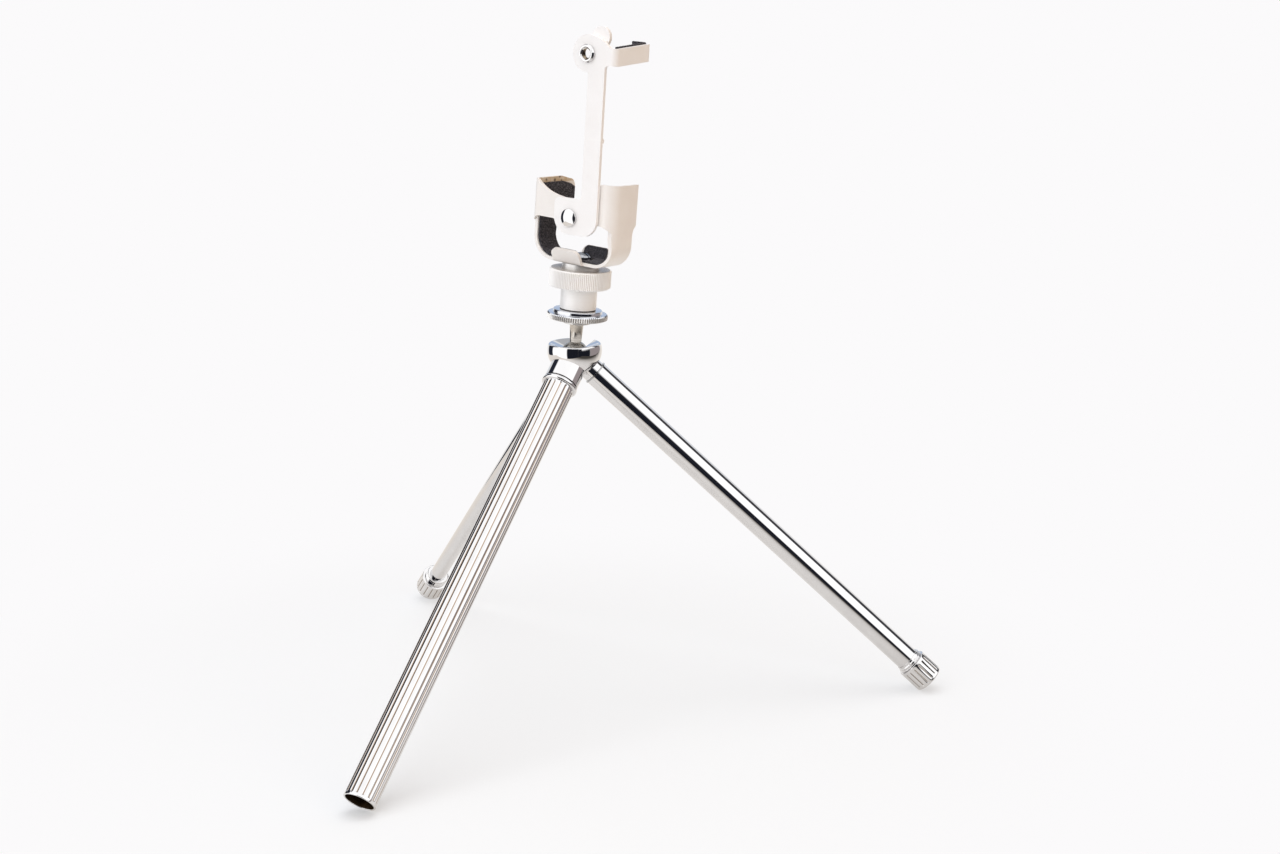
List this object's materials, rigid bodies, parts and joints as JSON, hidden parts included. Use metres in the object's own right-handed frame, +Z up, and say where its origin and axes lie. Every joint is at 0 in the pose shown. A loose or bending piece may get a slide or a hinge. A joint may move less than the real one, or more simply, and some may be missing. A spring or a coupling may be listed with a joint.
{
  "type": "pocket tripod",
  "caption": "Small table tripod with nesting screw-in legs, a slotted ball head, a knurled platform disc and a felt-lined swivelling camera clamp with a swinging arm.",
  "frame": {"origin": "on the floor, middle of the box around the feet", "axes": "+Z up, +X to the right and +Y to the back as seen from the front of the clamp"},
  "size_m": [0.204, 0.1938, 0.2143],
  "materials": {
    "chrome": "mirror chrome plate",
    "steel": "turned bright steel",
    "aluminium": "satin turned aluminium",
    "brass": "turned brass",
    "paint": "satin off-white paint",
    "felt": "glued felt",
    "fibre": "dark fibre"
  },
  "bodies": {
    "head": {"head_block": "chrome"},
    "ball": {"ball": "chrome"},
    "stem": {"ball_stem": "chrome"},
    "platform_shim": {"platform_washer": "fibre"},
    "disc": {"platform_disc": "chrome"},
    "neck": {"neck_bush": "steel", "clamp_screw": "chrome", "swivel_washer": "steel"},
    "sleeve": {"clamp_sleeve": "aluminium", "sleeve_nut": "brass", "knurled_ring": "aluminium"},
    "saddle": {"saddle": "paint", "saddle_felt": "felt", "plate_felt": "felt", "lip_felts": "felt", "arm_rivet": "chrome", "arm_washer": "steel"},
    "arm": {"clamp_arm": "paint", "release_bush": "chrome", "claw_felt": "felt"},
    "pad": {"thrust_pad": "brass"},
    "fluted_leg": {"fluted_leg_plug": "brass", "fluted_leg_tube": "chrome", "fluted_leg_collar": "chrome"},
    "middle_shim": {"middle_leg_washer": "steel"},
    "middle_leg": {"middle_leg_stud": "steel", "middle_leg_tube": "chrome", "middle_leg_foot": "chrome"},
    "thin_shim": {"thin_leg_washer": "steel"},
    "thin_leg": {"thin_leg_stud": "steel", "thin_leg_tube": "chrome", "thin_leg_foot": "chrome"}
  },
  "joints": [
    {"name": "ball_roll", "type": "hinge", "parent": "head", "child": "ball", "pos_m": [0.00609, 0.02349, 0.1119], "axis": [-0.1201, 0.9928, 0], "range_deg": [-15.6, 8.2]},
    {"name": "ball_tilt", "type": "hinge", "parent": "ball", "child": "stem", "pos_m": [0.00609, 0.02349, 0.1119], "axis": [-0.9907, -0.1199, 0.0639], "range_deg": [-22, 87.5]},
    {"name": "disc_travel", "type": "slide", "parent": "stem", "child": "platform_shim", "axis": [-0.0587, -0.0467, -0.9972], "range_m": [0, 0.00127]},
    {"name": "disc_turn", "type": "hinge", "parent": "platform_shim", "child": "disc", "pos_m": [0.00679, 0.02405, 0.12387], "axis": [-0.0587, -0.0467, -0.9972], "range_deg": [0, 360]},
    {"name": "sleeve_travel", "type": "slide", "parent": "stem", "child": "neck", "axis": [0.0587, 0.0467, 0.9972], "range_m": [0, 0.00381]},
    {"name": "sleeve_turn", "type": "hinge", "parent": "neck", "child": "sleeve", "pos_m": [0.00749, 0.02461, 0.13583], "axis": [0.0587, 0.0467, 0.9972], "range_deg": [0, 1080]},
    {"name": "clamp_swivel", "type": "hinge", "parent": "neck", "child": "saddle", "pos_m": [0.00779, 0.02485, 0.14092], "axis": [0.0587, 0.0467, 0.9972], "continuous": true},
    {"name": "arm_swing", "type": "hinge", "parent": "saddle", "child": "arm", "pos_m": [0.00876, 0.01934, 0.15581], "axis": [0.0014, -0.9989, 0.0467], "range_deg": [-60, 95]},
    {"name": "pad_travel", "type": "slide", "parent": "head", "child": "pad", "axis": [0.0885, -0.7312, -0.6764], "range_m": [0, 0.000251]},
    {"name": "ball_lock", "type": "hinge", "parent": "pad", "child": "fluted_leg", "pos_m": [0.00715, 0.01472, 0.10378], "axis": [0.0885, -0.7312, -0.6764], "range_deg": [0, 180]},
    {"name": "middle_leg_travel", "type": "slide", "parent": "head", "child": "middle_shim", "axis": [0.5818, 0.4368, -0.6861], "range_m": [0, 0.0028]},
    {"name": "middle_leg_unscrew", "type": "hinge", "parent": "middle_shim", "child": "middle_leg", "pos_m": [0.01132, 0.02742, 0.10572], "axis": [0.5818, 0.4368, -0.6861], "range_deg": [0, 1440]},
    {"name": "thin_leg_travel", "type": "slide", "parent": "head", "child": "thin_shim", "axis": [-0.6653, 0.2838, -0.6906], "range_m": [0, 0.002]},
    {"name": "thin_leg_unscrew", "type": "hinge", "parent": "thin_shim", "child": "thin_leg", "pos_m": [0.0001, 0.02604, 0.10569], "axis": [-0.6653, 0.2838, -0.6906], "range_deg": [0, 1440]}
  ],
  "couplings": [
    {"joint": "disc_travel", "follows": "disc_turn", "m_per_rad": 0.00020213},
    {"joint": "sleeve_travel", "follows": "sleeve_turn", "m_per_rad": 0.00020213},
    {"joint": "pad_travel", "follows": "ball_lock", "m_per_rad": 0.000079577},
    {"joint": "middle_leg_travel", "follows": "middle_leg_unscrew", "m_per_rad": 0.00011141},
    {"joint": "thin_leg_travel", "follows": "thin_leg_unscrew", "m_per_rad": 0.000079577}
  ]
}
